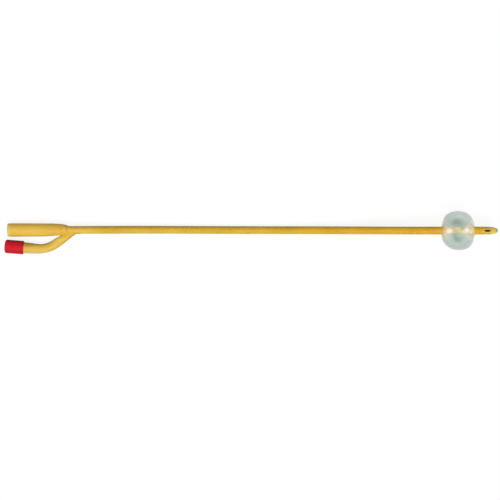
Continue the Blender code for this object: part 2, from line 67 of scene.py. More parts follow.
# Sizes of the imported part
SHAFT_RADIUS = 0.0032
NECK_RADIUS = 0.00235
BOND_GAP = 0.0003
DRAIN_RADIUS = 0.00145
DRAIN_SIDE = Vector((0.0, 0.00045, 0.0))
FILL_RADIUS = 0.00035
FILL_SIDE = Vector((0.0, -0.00162, 0.0))
BALLOON_HALF = 0.0131
BALLOON_WALL = 0.0005
FUNNEL_LENGTH = 0.0487
THROAT_DEPTH = 0.0369
CAP_LENGTH = 0.0148
CAP_RADIUS = 0.0055

# Distance of the upper and the lower eye from the nose's end
EYE_BACK = 0.0089
LOWER_EYE_BACK = 0.013

# How far a cutter reaches past the skin that it opens, and how close two points are welded
OVERRUN = 0.0006
WELD = 0.000002


# Handling of meshes

def pick(obj):
    """Makes obj the only selected object."""
    bpy.ops.object.select_all(action="DESELECT")
    obj.select_set(True)
    bpy.context.view_layer.objects.active = obj


def ease(t):
    """0 to 1 with a soft start and end."""
    t = min(max(t, 0.0), 1.0)
    return t * t * (3.0 - 2.0 * t)


def spread(start, end, count):
    """Start, end and the even steps between them."""
    return [start + (end - start) * i / count for i in range(count + 1)]


def rounding(size, count):
    """Offsets (back, in) from a sharp corner to its quarter round, from (size, 0) to (0, size)."""
    angles = spread(0.0, math.pi / 2, count)
    return [(size * (1.0 - math.sin(a)), size * (1.0 - math.cos(a))) for a in angles]


def stretch(start, end, shares, shape):
    """Points of an outline at these shares of the way; the shape leads the radius from start to end."""
    (x0, r0), (x1, r1) = start, end
    return [(x0 + (x1 - x0) * t, r0 + (r1 - r0) * shape(t)) for t in shares]


def draw_line(points):
    """New mesh in edit mode: a line through the points, extruded from the first one, all selected."""
    bpy.ops.object.select_all(action="DESELECT")
    bpy.ops.mesh.primitive_plane_add(size=0.001, location=(0.0, 0.0, 0.0), enter_editmode=True)
    bpy.ops.mesh.merge(type="CENTER")
    bpy.ops.transform.translate(value=points[0])
    for start, end in zip(points, points[1:]):
        step = [b - a for a, b in zip(start, end)]
        bpy.ops.mesh.extrude_vertices_move(TRANSFORM_OT_translate={"value": step})
    bpy.ops.mesh.select_all(action="SELECT")


def close_up(name):
    """Welds the mesh in edit mode, turns its faces outwards, leaves edit mode and names the piece."""
    bpy.ops.mesh.select_all(action="SELECT")
    bpy.ops.mesh.remove_doubles(threshold=WELD)
    bpy.ops.mesh.normals_make_consistent(inside=False)
    bpy.ops.object.mode_set(mode="OBJECT")
    obj = bpy.context.object
    obj.name = name
    obj.data.name = name
    return obj


def lathe(name, outline, segments):
    """Turned piece about the X axis: an outline of (along, radius) points, spun."""
    draw_line([(run, 0.0, radius) for run, radius in outline])
    bpy.ops.mesh.spin(steps=segments, angle=math.tau, center=(0.0, 0.0, 0.0), axis=(1.0, 0.0, 0.0))
    return close_up(name)


def flat_block(name, half, corners):
    """Block with an outline of these corners, as far above the funnel's middle as below it."""
    draw_line([(x, y, FUNNEL_Z - half) for x, y in corners + corners[:1]])
    bpy.ops.mesh.remove_doubles(threshold=WELD)
    bpy.ops.mesh.edge_face_add()
    bpy.ops.mesh.extrude_region_move(TRANSFORM_OT_translate={"value": (0.0, 0.0, 2 * half)})
    return close_up(name)


def drawn(name, places, radii, sides):
    """Round rod with closed ends along the places."""
    curve = bpy.data.curves.new(name, "CURVE")
    curve.dimensions = "3D"
    curve.bevel_depth = 1.0
    curve.bevel_resolution = sides // 2 - 2
    curve.use_fill_caps = True
    spline = curve.splines.new("POLY")
    spline.points.add(len(places) - 1)
    for knot, place, radius in zip(spline.points, places, radii):
        knot.co = (*place, 1.0)
        knot.radius = radius
    obj = bpy.data.objects.new(name, curve)
    bpy.context.scene.collection.objects.link(obj)
    pick(obj)
    bpy.ops.object.convert(target="MESH")
    bpy.ops.object.mode_set(mode="EDIT")
    return close_up(name)


def even_rod(name, places, radius, sides):
    """Rod of one radius."""
    return drawn(name, places, [radius] * len(places), sides)


def put(obj, place, heading=0.0):
    """Moves a piece to its place and applies it to the mesh."""
    pick(obj)
    obj.location = place
    obj.rotation_euler = (0.0, 0.0, heading)
    bpy.ops.object.transform_apply(location=True, rotation=True, scale=True)
    return obj


def on_valve(obj):
    """Puts a piece that was turned about X, with the syringe face at 0, on the valve's line."""
    return put(obj, VALVE_FACE, -VALVE_TILT)


def apply(obj, kind, **settings):
    """Adds a modifier and applies it."""
    pick(obj)
    modifier = obj.modifiers.new(kind, kind)
    for key, value in settings.items():
        setattr(modifier, key, value)
    bpy.ops.object.modifier_apply(modifier=modifier.name)


def combine(obj, tool, operation="DIFFERENCE"):
    """Cuts the tool out of the piece, or joins it on, and removes the tool."""
    apply(obj, "BOOLEAN", operation=operation, solver="EXACT", object=tool)
    bpy.data.objects.remove(tool)


def soften(obj, voxel, rounds):
    """Melts the joined forms of a moulding into one skin with rounded edges."""
    apply(obj, "REMESH", mode="VOXEL", voxel_size=voxel)
    apply(obj, "SMOOTH", factor=0.5, iterations=rounds)


def melt(obj, place, reach, rounds):
    """Smooths the skin round a place much further than elsewhere."""
    group = obj.vertex_groups.new(name="melted")
    for point in obj.data.vertices:
        share = 1.0 - ease((point.co - place).length / reach)
        if share > 0.0:
            group.add([point.index], share, "REPLACE")
    apply(obj, "SMOOTH", factor=0.5, iterations=rounds, vertex_group="melted")
    obj.vertex_groups.clear()


def dress(obj, finish, slot, body, *nodes, angle=35.0):
    """Shades a finished piece, gives it its material and says what it stands for."""
    pick(obj)
    obj.data.materials.clear()
    obj.data.materials.append(finish)
    bpy.ops.object.shade_smooth_by_angle(angle=math.radians(angle))
    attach(obj, body)
    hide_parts(*nodes)
    return obj


# Nodes of the materials; the same helpers serve the world, which has a node tree too

def new_finish(name, **sockets):
    """Material with these sockets of its shader set; an underscore stands for a space in their names."""
    finish = bpy.data.materials.new(name)
    finish.use_nodes = True
    for socket, value in sockets.items():
        shader_input(finish, socket.replace("_", " ")).default_value = value
    return finish


def shader_input(finish, name):
    return finish.node_tree.nodes["Principled BSDF"].inputs[name]


def add(finish, kind, **settings):
    node = finish.node_tree.nodes.new(kind)
    for key, value in settings.items():
        setattr(node, key, value)
    return node


def join(finish, out, into):
    finish.node_tree.links.new(out, into)


def arithmetic(finish, operation, first, second):
    """Sum on outputs or plain numbers."""
    node = add(finish, "ShaderNodeMath", operation=operation)
    for socket, value in zip(node.inputs, (first, second)):
        if isinstance(value, float):
            socket.default_value = value
        else:
            join(finish, value, socket)
    return node.outputs[0]


def both(finish, first, second):
    """Product of two masks, or of a mask and its share."""
    return arithmetic(finish, "MULTIPLY", first, second)


def speckle(finish, size, stretched=(1.0, 1.0, 1.0), detail=3.0, offset=(0.0, 0.0, 0.0)):
    """Noise on the piece's own coordinates, with grains of about this size, drawn out where stretched."""
    coordinates = add(finish, "ShaderNodeTexCoord")
    mapping = add(finish, "ShaderNodeMapping")
    mapping.inputs["Location"].default_value = offset
    mapping.inputs["Scale"].default_value = [1.0 / s for s in stretched]
    noise = add(finish, "ShaderNodeTexNoise")
    noise.inputs["Scale"].default_value = 1.0 / size
    noise.inputs["Detail"].default_value = detail
    join(finish, coordinates.outputs["Object"], mapping.inputs["Vector"])
    join(finish, mapping.outputs["Vector"], noise.inputs["Vector"])
    return noise.outputs["Fac"]


def along(finish, axis):
    """The piece's own coordinate along one axis."""
    coordinates = add(finish, "ShaderNodeTexCoord")
    parts = add(finish, "ShaderNodeSeparateXYZ")
    join(finish, coordinates.outputs["Object"], parts.inputs["Vector"])
    return parts.outputs[axis]


def away(finish, axis, middle):
    """Distance from a middle along one axis, to either side."""
    offset = arithmetic(finish, "SUBTRACT", along(finish, axis), middle)
    return arithmetic(finish, "ABSOLUTE", offset, 0.0)


def behind_face(finish):
    """Distance behind the syringe face, along the valve."""
    coordinates = add(finish, "ShaderNodeTexCoord")
    run = add(finish, "ShaderNodeVectorMath", operation="DOT_PRODUCT")
    run.inputs[1].default_value = VALVE_LINE
    join(finish, coordinates.outputs["Object"], run.inputs[0])
    return arithmetic(finish, "SUBTRACT", run.outputs["Value"], VALVE_FACE.dot(VALVE_LINE))


def between(finish, value, low, high, out_low, out_high, how="SMOOTHSTEP"):
    """Maps a value from low..high to out_low..out_high, with a soft start and end unless LINEAR."""
    node = add(finish, "ShaderNodeMapRange", interpolation_type=how)
    for name, number in (("From Min", low), ("From Max", high), ("To Min", out_low), ("To Max", out_high)):
        node.inputs[name].default_value = number
    join(finish, value, node.inputs["Value"])
    return node.outputs["Result"]


def rising(finish, value, low, high, share=1.0):
    """0 up to the low value, and the share from the high value on."""
    return between(finish, value, low, high, 0.0, share)


def falling(finish, value, low, high, share=1.0):
    """The share up to the low value, and 0 from the high value on."""
    return between(finish, value, low, high, share, 0.0)


def near(finish, place, close, far, measure=(1.0, 1.0, 1.0)):
    """1 within the close distance of a place on the piece, falling softly to 0 at the far one.

    The measure scales the distance along each axis, so that the spot may be oval.
    """
    coordinates = add(finish, "ShaderNodeTexCoord")
    scaled = add(finish, "ShaderNodeVectorMath", operation="MULTIPLY")
    scaled.inputs[1].default_value = measure
    join(finish, coordinates.outputs["Object"], scaled.inputs[0])
    distance = add(finish, "ShaderNodeVectorMath", operation="DISTANCE")
    distance.inputs[1].default_value = [p * m for p, m in zip(place, measure)]
    join(finish, scaled.outputs[0], distance.inputs[0])
    return falling(finish, distance.outputs["Value"], close, far)


def ramp(finish, value, *stops):
    """Colours by value; each stop is (position, colour)."""
    node = add(finish, "ShaderNodeValToRGB")
    node.color_ramp.elements[0].position = stops[0][0]
    node.color_ramp.elements[0].color = (*stops[0][1], 1.0)
    node.color_ramp.elements[1].position = stops[-1][0]
    node.color_ramp.elements[1].color = (*stops[-1][1], 1.0)
    for position, colour in stops[1:-1]:
        node.color_ramp.elements.new(position).color = (*colour, 1.0)
    join(finish, value, node.inputs["Fac"])
    return node.outputs["Color"]


def tint(finish, mask, first, second, how="MIX"):
    """Second over first, as far as the mask says; each is an output or a plain colour."""
    node = add(finish, "ShaderNodeMix", data_type="RGBA", blend_type=how)
    join(finish, mask, node.inputs["Factor"])
    for name, colour in (("A", first), ("B", second)):
        socket = [s for s in node.inputs if s.name == name and s.type == "RGBA"][0]
        if isinstance(colour, tuple):
            socket.default_value = (*colour, 1.0)
        else:
            join(finish, colour, socket)
    return [s for s in node.outputs if s.type == "RGBA"][0]


def roughen(finish, height, distance, strength):
    bump = add(finish, "ShaderNodeBump")
    bump.inputs["Strength"].default_value = strength
    bump.inputs["Distance"].default_value = distance
    join(finish, height, bump.inputs["Height"])
    join(finish, bump.outputs["Normal"], shader_input(finish, "Normal"))


def overlay_shader(finish, mask, first, second, output):
    """Sends two shaders to the output, the second where the mask is 1."""
    mix = add(finish, "ShaderNodeMixShader")
    join(finish, mask, mix.inputs["Fac"])
    join(finish, first.outputs[0], mix.inputs[1])
    join(finish, second.outputs[0], mix.inputs[2])
    join(finish, mix.outputs[0], finish.node_tree.nodes[output].inputs["Surface"])


def background_rays(finish):
    """1 for rays that show the background: straight to the camera, off gloss or through glass."""
    rays = add(finish, "ShaderNodeLightPath")
    seen = rays.outputs["Is Camera Ray"]
    for kind in ("Is Glossy Ray", "Is Transmission Ray"):
        seen = arithmetic(finish, "MAXIMUM", seen, rays.outputs[kind])
    return seen


# Latex

# Deep, middle and pale colour of each cloud
AMBER = ((0.59, 0.375, 0.03), (0.64, 0.415, 0.04), (0.68, 0.455, 0.055))
DEEP_AMBER = ((0.60, 0.345, 0.012), (0.64, 0.38, 0.02), (0.68, 0.42, 0.032))
MOULDED = ((0.69, 0.435, 0.05), (0.74, 0.475, 0.066), (0.78, 0.515, 0.085))
ARM_MOULDED = ((0.68, 0.46, 0.055), (0.73, 0.50, 0.072), (0.77, 0.54, 0.095))
TIP_AMBER = ((0.58, 0.385, 0.05), (0.625, 0.42, 0.07), (0.67, 0.455, 0.09))

# Colours of single places: flanks, ends and joints, many of them painted light, shade, highlights and shadows
PAINTED_LIGHT_AMBER = (0.72, 0.485, 0.075)
PAINTED_FLANK_SHADE = (0.92, 0.80, 0.60)
WARM_AMBER = (0.65, 0.37, 0.028)
EYE_RIM_PAINTED_LIGHT = (0.64, 0.49, 0.13)
NOSE_HIGHLIGHT = (0.74, 0.54, 0.12)
NOSE_END_SHADE = (0.42, 0.38, 0.16)
BORE_SHADE = (0.06, 0.042, 0.014)
MOUTH_PAINTED_GLOW = (0.74, 0.575, 0.155)
BARB_BUFF = (0.70, 0.435, 0.085)
JOINT_WARM = (0.74, 0.425, 0.040)
SHOULDER_PAINTED_LIGHT = (0.76, 0.57, 0.055)
COLLAR_HIGHLIGHT = (0.83, 0.56, 0.12)
COLLAR_STEP_SHADE = (0.64, 0.375, 0.04)
SLEEVE_PAINTED_LIGHT = (0.72, 0.47, 0.07)
PAINTED_SIDE_SHADE = (0.42, 0.29, 0.06)
CROTCH_PAINTED_LIGHT = (0.92, 0.66, 0.17)
RIM_CREAM = (0.68, 0.61, 0.43)
CAP_SHADOW_UMBER = (0.50, 0.26, 0.03)
SHADOW_LINE_BROWN = (0.58, 0.28, 0.05)
FAR_SIDE_SHEEN = (0.66, 0.48, 0.18)

# Bands of painted light on the bared neck inside the balloon: cream for highlights and for the light that the
# filled balloon gathers, tan where a painted dark reflection lies over it
PEACH = (0.94, 0.75, 0.40)
CREAM = (1.0, 0.94, 0.75)
TAN = (0.96, 0.70, 0.31)

# Places on the funnel's skin
BARB_MIDDLE = VALVE_FACE + VALVE_LINE * 0.0175
JOINT_TOP = (-0.1470, 0.0002, FUNNEL_Z + 0.003)
SHOULDER_TOP = (-0.1548, -0.0054, FUNNEL_Z + 0.003)
COLLAR_HIGHLIGHT_TOP = (-0.1508, 0.0025, FUNNEL_Z + 0.004)
CROTCH_SKIN = (-0.1585, -0.0048, FUNNEL_Z)

# Share of the light that wanders through the latex, and how far it does in red, green and blue
GLOW = 0.45
GLOW_DEPTH = 0.0024
GLOW_COLOURS = (1.0, 0.55, 0.18)


def latex_cloud(finish, deep, mid, pale):
    """Cloudy colour of dipped latex, the same across the pieces that are dipped together."""
    cloud = speckle(finish, 0.008, stretched=(3.0, 1.0, 1.0), detail=4.0)
    return ramp(finish, cloud, (0.3, deep), (0.52, mid), (0.75, pale))


def latex(name):
    """Dipped natural rubber: a translucent body, a soft sheen and a finely wrinkled, unevenly worn skin."""
    finish = new_finish(name, Subsurface_Weight=GLOW, Subsurface_Scale=GLOW_DEPTH,
                        Subsurface_Radius=GLOW_COLOURS, Specular_IOR_Level=0.12,
                        Sheen_Weight=0.25, Sheen_Roughness=0.4)
    wear = speckle(finish, 0.0025, stretched=(2.0, 1.0, 1.0), offset=(0.3, 0.1, 0.7))
    join(finish, between(finish, wear, 0.3, 0.7, 0.42, 0.58), shader_input(finish, "Roughness"))
    wrinkles = speckle(finish, 0.0014, offset=(0.9, 0.4, 0.2))
    roughen(finish, wrinkles, 0.00003, 0.45)
    return finish


def shaft_latex():
    """Amber latex, deeper towards the balloon; the bared neck inside the balloon has painted light, brightest
    in two bands of painted highlight.
    """
    finish = latex("shaft_latex")
    place = along(finish, "X")
    deepening = rising(finish, place, -0.04, 0.09)
    colour = tint(finish, deepening, latex_cloud(finish, *AMBER), latex_cloud(finish, *DEEP_AMBER))

    # Painted light: the shaft is paler near the funnel, as if lit more evenly there
    painted_light_start = falling(finish, place, -0.1390, -0.1180, 0.9)
    colour = tint(finish, painted_light_start, colour, PAINTED_LIGHT_AMBER)
    # Painted shade: the upper side, away from the light, is darker and redder
    flank = rising(finish, along(finish, "Y"), AXIS_Y + 0.0004, AXIS_Y + 0.0026)
    colour = tint(finish, flank, colour, PAINTED_FLANK_SHADE, "MULTIPLY")

    # Painted light and highlights on the neck seen through the balloon
    share_of_neck = between(finish, place, 0.154, 0.182, 0.0, 1.0, "LINEAR")
    neck_painted_light = ramp(finish, share_of_neck, (0.12, PEACH), (0.20, CREAM), (0.28, CREAM), (0.34, TAN),
                    (0.60, TAN), (0.67, CREAM), (0.75, CREAM), (0.82, PEACH))
    inside = both(finish, rising(finish, place, 0.1535, 0.1560), falling(finish, place, 0.1790, 0.1815))
    join(finish, tint(finish, inside, colour, neck_painted_light), shader_input(finish, "Base Color"))
    return finish


def tip_latex():
    """Amber latex, warmer beside the balloon, with painted light round the eye, a painted highlight and
    painted shade at the nose, and painted shade in its bore.
    """
    finish = latex("tip_latex")
    place = along(finish, "X")
    beside_balloon = falling(finish, place, 0.1855, 0.1905, 0.9)
    colour = tint(finish, beside_balloon, latex_cloud(finish, *TIP_AMBER), WARM_AMBER)

    eye_place = (TIP_END_X - EYE_BACK, BALLOON_Y, BALLOON_Z + SHAFT_RADIUS)
    # Painted light on the eye's rim, which its rounding leaves in shade
    eye_rim = near(finish, eye_place, 0.0012, 0.0022, (0.45, 1.0, 0.3))
    colour = tint(finish, both(finish, eye_rim, 0.7), colour, EYE_RIM_PAINTED_LIGHT)
    # Painted highlight on the nose, and painted shade at its rounded end
    colour = tint(finish, rising(finish, place, 0.1915, 0.1965, 0.85), colour, NOSE_HIGHLIGHT)
    colour = tint(finish, rising(finish, place, 0.1973, 0.1983, 0.8), colour, NOSE_END_SHADE)

    # Painted shade inside the bore, where light hardly reaches
    bore = near(finish, (0.0, BALLOON_Y, BALLOON_Z), 0.0023, 0.0028, (0.0, 1.0, 1.0))
    bore = both(finish, bore, falling(finish, place, 0.1944, 0.1950))
    join(finish, tint(finish, bore, colour, BORE_SHADE), shader_input(finish, "Base Color"))
    return finish


def funnel_latex():
    """Moulded latex: a yellower arm, duller over the barb, a warm joint, with painted light, highlights,
    shade and shadows on the moulding.
    """
    finish = latex("funnel_latex")
    place, side = along(finish, "X"), along(finish, "Y")
    colour = tint(finish, falling(finish, side, -0.0075, -0.0040),
                  latex_cloud(finish, *MOULDED), latex_cloud(finish, *ARM_MOULDED))

    # Painted light at the mouth, as if shining through its thin latex, and latex stretched over the barb
    mouth = falling(finish, place, FUNNEL_MOUTH_X + 0.0003, FUNNEL_MOUTH_X + 0.0045, 0.95)
    colour = tint(finish, mouth, colour, MOUTH_PAINTED_GLOW)
    over_barb = near(finish, BARB_MIDDLE, 0.0035, 0.0068)
    colour = tint(finish, over_barb, colour, BARB_BUFF)

    # Where the arm joins the shaft: a warm joint, painted light on the arm's shaded upper edge by the crotch,
    # and a painted highlight on the collar's step
    joint = near(finish, JOINT_TOP, 0.0025, 0.0065, (0.75, 1.0, 0.3))
    colour = tint(finish, joint, colour, JOINT_WARM)
    shoulder = near(finish, SHOULDER_TOP, 0.0006, 0.0022, (1.0, 1.0, 0.3))
    colour = tint(finish, shoulder, colour, SHOULDER_PAINTED_LIGHT)
    # Painted highlight on the rounded step of the collar
    collar_highlight = near(finish, COLLAR_HIGHLIGHT_TOP, 0.0004, 0.0022, (1.0, 0.8, 0.3))
    colour = tint(finish, both(finish, collar_highlight, 0.8), colour, COLLAR_HIGHLIGHT)

    # Collar on the far side: a ring of painted shade on its step, then the thin sleeve on the shaft, painted
    # lighter
    ring = both(finish, rising(finish, place, -0.1508, -0.1500),
                falling(finish, place, -0.1491, -0.1486, 0.8))
    ring = both(finish, ring, rising(finish, side, 0.0005, 0.0020))
    colour = tint(finish, ring, colour, COLLAR_STEP_SHADE)
    # Painted light: the sleeve is paler, as if lit more evenly
    sleeve = both(finish, rising(finish, place, -0.1489, -0.1485), rising(finish, side, 0.0, 0.0015))
    colour = tint(finish, sleeve, colour, SLEEVE_PAINTED_LIGHT)

    # Painted shade at mid-height on the arm's side of the moulding, painted light in the crotch, and the
    # mouth's greyish rim
    side_shade = both(finish, falling(finish, away(finish, "Z", FUNNEL_Z), 0.0012, 0.0031, 0.75),
                   falling(finish, side, AXIS_Y - 0.0025, AXIS_Y))
    colour = tint(finish, side_shade, colour, PAINTED_SIDE_SHADE)
    # Painted light in the crotch, against the shade that falls there
    crotch = near(finish, CROTCH_SKIN, 0.0012, 0.0045, (0.6, 1.0, 0.5))
    colour = tint(finish, both(finish, crotch, 0.6), colour, CROTCH_PAINTED_LIGHT)
    rim = falling(finish, place, FUNNEL_MOUTH_X + 0.0002, FUNNEL_MOUTH_X + 0.0013, 0.9)
    colour = tint(finish, rim, colour, RIM_CREAM)

    # Arm behind the cap: the cap's painted shadow on the funnel's side, a painted shadow line at the cap, and
    # painted sheen on the other side
    behind_cap = arithmetic(finish, "SUBTRACT", behind_face(finish), CAP_LENGTH)
    on_arm = falling(finish, side, -0.0058, -0.0046)
    # Painted shadow of the cap on the arm, on the funnel's side
    umber = both(finish, falling(finish, behind_cap, 0.0040, 0.0130, 0.7),
                 rising(finish, side, -0.0124, -0.0100))
    colour = tint(finish, both(finish, umber, on_arm), colour, CAP_SHADOW_UMBER)
    # Painted shadow of the cap's back face, a dark line on the arm
    shadow_line = falling(finish, behind_cap, 0.0002, 0.0020, 0.75)
    colour = tint(finish, both(finish, shadow_line, on_arm), colour, SHADOW_LINE_BROWN)
    # Painted sheen: the arm's side towards the light is paler
    far_side = both(finish, falling(finish, side, -0.0157, -0.0141, 0.7),
                    falling(finish, place, -0.168, -0.160))
    colour = tint(finish, far_side, colour, FAR_SIDE_SHEEN)
    join(finish, colour, shader_input(finish, "Base Color"))

    # The sleeve is too thin for light to wander in it
    join(finish, falling(finish, place, -0.1496, -0.1486, GLOW), shader_input(finish, "Subsurface Weight"))
    return finish


# Colours of the balloon
DEEP_GREY_GREEN = (0.455, 0.595, 0.54)
PALE_GREY_GREEN = (0.50, 0.64, 0.585)
BELLY_PAINTED_LIGHT = (0.68, 0.79, 0.745)
NECK_SHADOW_OLIVE = (0.40, 0.38, 0.27)
END_PAINTED_LIGHT = (0.76, 0.83, 0.76)
LILAC = (0.58, 0.56, 0.64)
STREAK_PAINTED_LIGHT = (0.92, 0.74, 0.45)
REFLECTION_GREY = (0.19, 0.27, 0.235)

# Spots on the balloon's upper side, each at (x, y): its reach, colour and the haze it adds; the grey ones are
# a painted dark reflection, the milky ones painted highlights
SPOT_Z = BALLOON_Z + 0.0145
DARK_REFLECTION_SPOTS = ((0.1647, 0.0079, 0.0082, REFLECTION_GREY, 0.28),
              (0.1651, -0.0046, 0.0086, REFLECTION_GREY, 0.40))
HIGHLIGHT_SPOTS = ((0.1588, 0.0017, 0.0030, (1.0, 0.93, 0.78), 0.30),
               (0.1722, 0.0025, 0.0034, (1.0, 0.89, 0.74), 0.30),
               (0.1752, 0.0050, 0.0040, (1.0, 0.84, 0.60), 0.16))

STREAK_PLACE = (BALLOON_X - 0.0030, 0.0031, SPOT_Z)
LILAC_PLACE = (0.1725, 0.0135, 0.0255)

# Gathered latex round each end of the balloon, with painted light: paler against the shade of the ends, and
# yellow for the amber shaft seen refracted through the filled balloon. Each ring: its reach, colour and the
# haze it adds
GATHERED_AND_PAINTED_LIGHT = ((0.0105, (0.90, 0.92, 0.68), 0.06), (0.0058, (1.0, 0.79, 0.40), 0.24))


def lay(finish, mask, colour, haze, tone, more):
    """The colour with a tone laid over it and the haze with more added, as far as the mask says."""
    added = both(finish, mask, more)
    return tint(finish, mask, colour, tone), arithmetic(finish, "ADD", haze, added)


def stretched_latex():
    """Thin latex of the filled balloon: grey-green, clear on top, yellow where it is gathered, amber cuffs,
    with painted light, a painted shadow, painted highlights and a painted reflection.

    The haze is the skin's own share of what is seen; the rest comes from behind it.
    """
    finish = new_finish("balloon_latex")
    place, side = along(finish, "X"), along(finish, "Y")
    cloud = speckle(finish, 0.007)
    colour = ramp(finish, cloud, (0.3, DEEP_GREY_GREEN), (0.7, PALE_GREY_GREEN))
    haze = both(finish, between(finish, along(finish, "Z"), 0.008, 2 * BALLOON_Z, 0.46, 0.06),
                between(finish, cloud, 0.3, 0.7, 0.95, 1.05))

    # Painted light: paler round the equator, where the side-lit flanks take less light
    flank = falling(finish, away(finish, "Z", BALLOON_Z), 0.003, 0.011, 0.7)
    colour = tint(finish, flank, colour, BELLY_PAINTED_LIGHT)
    # Painted shadow of the neck, a darker olive belt along it
    neck_shadow = falling(finish, away(finish, "Y", BALLOON_Y), 0.0022, 0.0062)
    colour = tint(finish, both(finish, neck_shadow, 0.8), colour, NECK_SHADOW_OLIVE)
    neck_shadow_haze = between(finish, side, BALLOON_Y - 0.001, BALLOON_Y + 0.001, 0.10, 0.03)
    haze = arithmetic(finish, "ADD", haze, both(finish, neck_shadow, neck_shadow_haze))

    # Clearer ends, most on the funnel's side, with painted light on their side-lit skin
    from_middle = away(finish, "X", BALLOON_X)
    ends = both(finish, rising(finish, from_middle, 0.0094, 0.0124),
                between(finish, side, BALLOON_Y - 0.004, BALLOON_Y + 0.006, 0.4, 1.0))
    rear_or_front = between(finish, place, BALLOON_X - 0.001, BALLOON_X + 0.001, 1.6, 0.9)
    ends = both(finish, ends, rear_or_front)
    colour = tint(finish, both(finish, ends, 0.8), colour, END_PAINTED_LIGHT)
    haze = both(finish, haze, between(finish, ends, 0.0, 1.6, 1.0, 0.36, "LINEAR"))

    # Painted reflection: grey spots on the shiny top
    for x, y, far, tone, more in DARK_REFLECTION_SPOTS:
        spot = near(finish, (x, y, SPOT_Z), 0.0005, far, (0.95, 1.10, 1.0))
        colour, haze = lay(finish, spot, colour, haze, tone, more)
    lilac = near(finish, LILAC_PLACE, 0.0015, 0.0055)
    colour = tint(finish, lilac, colour, LILAC)
    for x in (BALLOON_X - BALLOON_HALF, BALLOON_X + BALLOON_HALF):
        for far, tone, more in GATHERED_AND_PAINTED_LIGHT:
            gathered = near(finish, (x, BALLOON_Y, BALLOON_Z), 0.0030, far, (1.0, 1.0, 0.22))
            colour, haze = lay(finish, gathered, colour, haze, tone, more)
    # Painted highlights: milky spots on the top
    for x, y, far, tone, more in HIGHLIGHT_SPOTS:
        spot = near(finish, (x, y, SPOT_Z), 0.0010, far, (1.0, 1.0, 0.15))
        colour, haze = lay(finish, spot, colour, haze, tone, more)
    # Painted light in a streak over the neck's upper side, which faces away from the light
    streak = near(finish, STREAK_PLACE, 0.0004, 0.0018, (0.30, 1.0, 0.15))
    colour, haze = lay(finish, streak, colour, haze, STREAK_PAINTED_LIGHT, 0.16)

    # The cuffs past the belly are thick latex: not clear, and duller
    cuff = rising(finish, from_middle, BALLOON_HALF, BALLOON_HALF + 0.0003)
    colour = tint(finish, cuff, colour, latex_cloud(finish, *DEEP_AMBER))
    haze = arithmetic(finish, "MAXIMUM", haze, cuff)
    join(finish, colour, shader_input(finish, "Base Color"))
    join(finish, between(finish, cuff, 0.0, 1.0, 0.3, 0.5), shader_input(finish, "Roughness"))
    join(finish, between(finish, cuff, 0.0, 1.0, 0.35, 0.12), shader_input(finish, "Specular IOR Level"))

    # Light also passes through the hazy latex, so its shadow is weaker than its haze
    shadow = both(finish, add(finish, "ShaderNodeLightPath").outputs["Is Shadow Ray"], 0.6)
    light = arithmetic(finish, "SUBTRACT", 1.0, shadow)
    join(finish, both(finish, haze, light), shader_input(finish, "Alpha"))
    waves = speckle(finish, 0.004, detail=2.0, offset=(0.2, 0.5, 0.1))
    roughen(finish, waves, 0.0001, 0.4)
    return finish


# Plastic, rubber and wire of the valve

RED_DEEP = (0.55, 0.010, 0.017)
RED = (0.61, 0.013, 0.023)
RED_PAINTED_SHADE = (0.20, 0.006, 0.010)
RED_RIM_SHADE = (0.40, 0.035, 0.032)


def plastic(name, low, high, gloss, shine=0.5):
    """Moulded plastic, cloudy from the low colour to the high one, with a fine even grain."""
    finish = new_finish(name, Specular_IOR_Level=shine)
    colour = ramp(finish, speckle(finish, 0.004, detail=2.0), (0.35, low), (0.65, high))
    join(finish, colour, shader_input(finish, "Base Color"))
    grain = speckle(finish, 0.0006, detail=2.0, offset=(0.4, 0.8, 0.3))
    join(finish, between(finish, grain, 0.3, 0.7, *gloss), shader_input(finish, "Roughness"))
    roughen(finish, grain, 0.00002, 0.6)
    return finish


def cap_plastic():
    """Moulded red, with painted shade on the flanks and below and on the rim of the syringe face."""
    finish = plastic("red_plastic", RED_DEEP, RED, (0.46, 0.58), shine=0.06)
    base = shader_input(finish, "Base Color")
    # Painted shade: darker on the flanks and below, where less light falls
    above = arithmetic(finish, "SUBTRACT", along(finish, "Z"), VALVE_FACE.z)
    flank = between(finish, above, 0.0020, 0.0052, 0.55, 0.0, "LINEAR")
    colour = tint(finish, flank, base.links[0].from_socket, RED_PAINTED_SHADE)
    # Painted shade on the rounded rim round the syringe face, which faces away from the light
    face = near(finish, VALVE_FACE, 0.0038, 0.0050, (0.0, 1.0, 1.0))
    rim = both(finish, falling(finish, behind_face(finish), 0.0004, 0.0016, 0.8),
               arithmetic(finish, "SUBTRACT", 1.0, face))
    join(finish, tint(finish, rim, colour, RED_RIM_SHADE), base)
    return finish


def wire():
    """Drawn stainless wire with fine streaks."""
    finish = new_finish("spring_steel", Metallic=1.0)
    drawing = speckle(finish, 0.0002, stretched=(6.0, 1.0, 1.0))
    colour = ramp(finish, drawing, (0.3, (0.48, 0.48, 0.50)), (0.7, (0.62, 0.62, 0.64)))
    join(finish, colour, shader_input(finish, "Base Color"))
    join(finish, between(finish, drawing, 0.3, 0.7, 0.22, 0.38), shader_input(finish, "Roughness"))
    return finish


# Shaft: a soft tube laid on a table, held up at the funnel and at the balloon

# Stiffness of the tube over its weight for each metre, and its offsets at shares of the free run
SAG_STIFFNESS = 0.00072
SHAFT_ROUTE = ((0.0, 0.0), (0.2, 0.0002), (0.45, -0.00005), (0.7, -0.00027), (1.0, -0.00068))

# Where the shaft steps down to the neck
STEP_START_X = NECK_START_X + 0.00013
STEP_END_X = NECK_START_X + 0.0002


